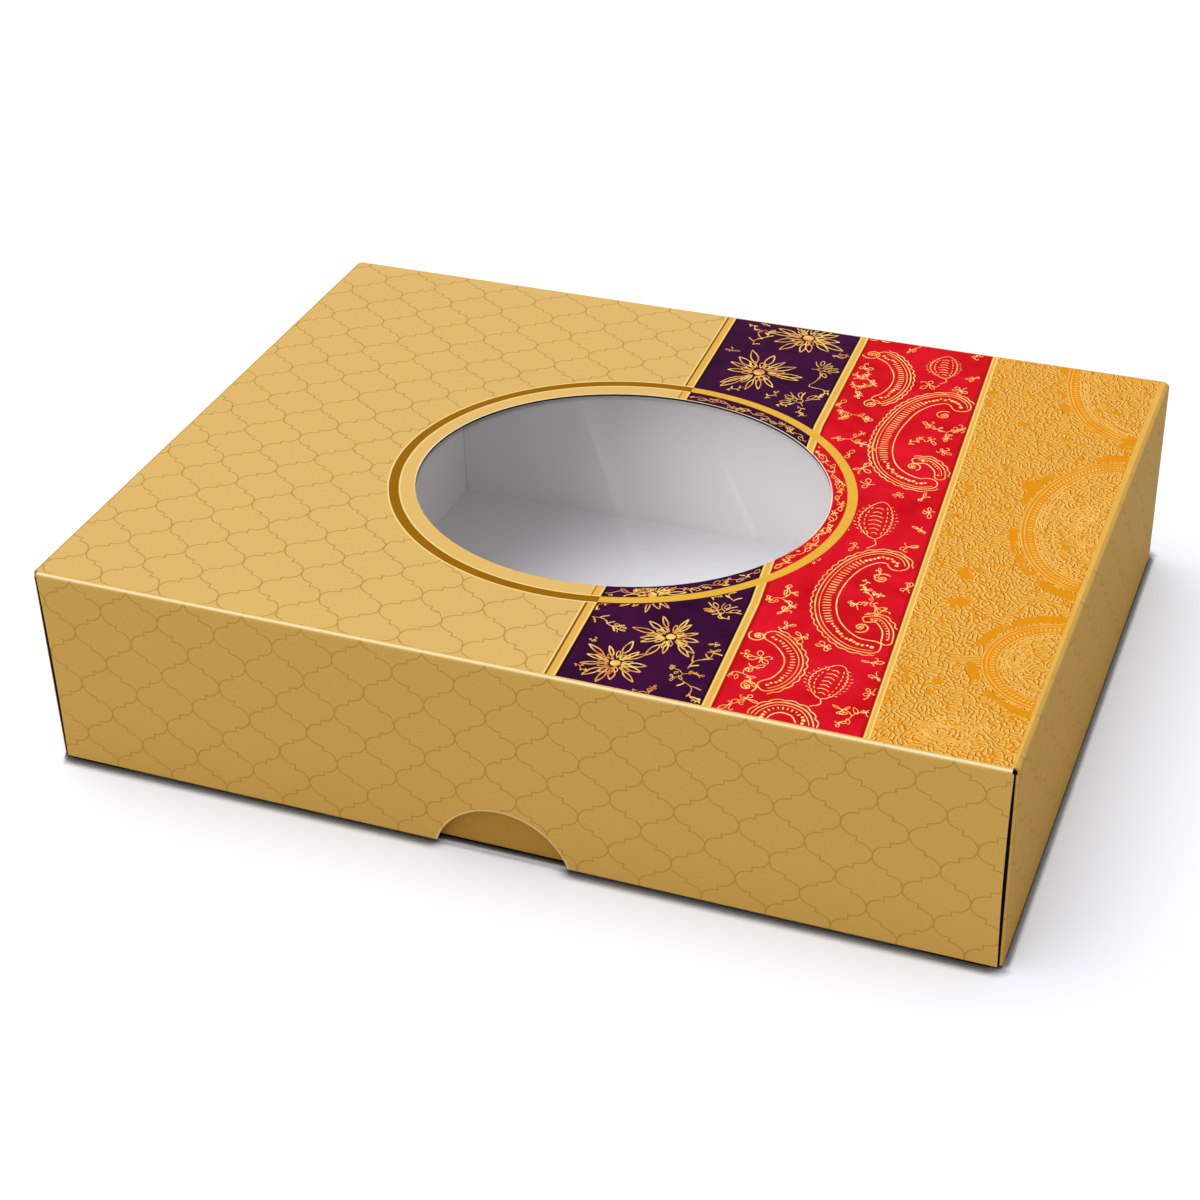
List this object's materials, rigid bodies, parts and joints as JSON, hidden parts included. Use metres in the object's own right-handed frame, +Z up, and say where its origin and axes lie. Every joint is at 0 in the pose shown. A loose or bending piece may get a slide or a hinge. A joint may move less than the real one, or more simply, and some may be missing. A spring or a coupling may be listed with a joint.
{
  "type": "sweet box",
  "caption": "Telescoping folding-board box for sweets: a deep gold lid with an oval film window and thumb notches lifts off a tray that holds a white insert with a well.",
  "frame": {"origin": "the middle of the tray's underside, on the table", "axes": "+Z up, +X right along the long side, +Y towards the back; the front wall faces -Y"},
  "size_m": [0.254, 0.192, 0.058],
  "materials": {
    "lid_board": "satin",
    "lid_tab_board": "matte",
    "tray_board": "satin",
    "insert_board": "matte",
    "clear_film": "gloss",
    "glue": "matte"
  },
  "bodies": {
    "tray": {"tray_floor": "tray_board", "tray_front_wall": "tray_board", "tray_back_wall": "tray_board", "tray_left_wall": "tray_board", "tray_right_wall": "tray_board", "tray_front_left_tab": "tray_board", "tray_front_right_tab": "tray_board", "tray_back_left_tab": "tray_board", "tray_back_right_tab": "tray_board", "tray_corner_glue": "glue", "insert_platform": "insert_board", "insert_well_front": "insert_board", "insert_well_back": "insert_board", "insert_well_left": "insert_board", "insert_well_right": "insert_board", "insert_front_leg": "insert_board", "insert_back_leg": "insert_board", "insert_left_leg": "insert_board", "insert_right_leg": "insert_board"},
    "lid": {"lid_top_panel": "lid_board", "lid_front_wall": "lid_board", "lid_back_wall": "lid_board", "lid_left_wall": "lid_board", "lid_right_wall": "lid_board", "lid_front_left_tab": "lid_tab_board", "lid_front_right_tab": "lid_tab_board", "lid_back_left_tab": "lid_tab_board", "lid_back_right_tab": "lid_tab_board", "lid_corner_glue": "glue", "window_film": "clear_film", "window_glue": "glue"}
  },
  "joints": [
    {"name": "lid_lift", "type": "slide", "parent": "tray", "child": "lid", "axis": [0, 0, 1], "range_m": [0, 0.1]}
  ]
}
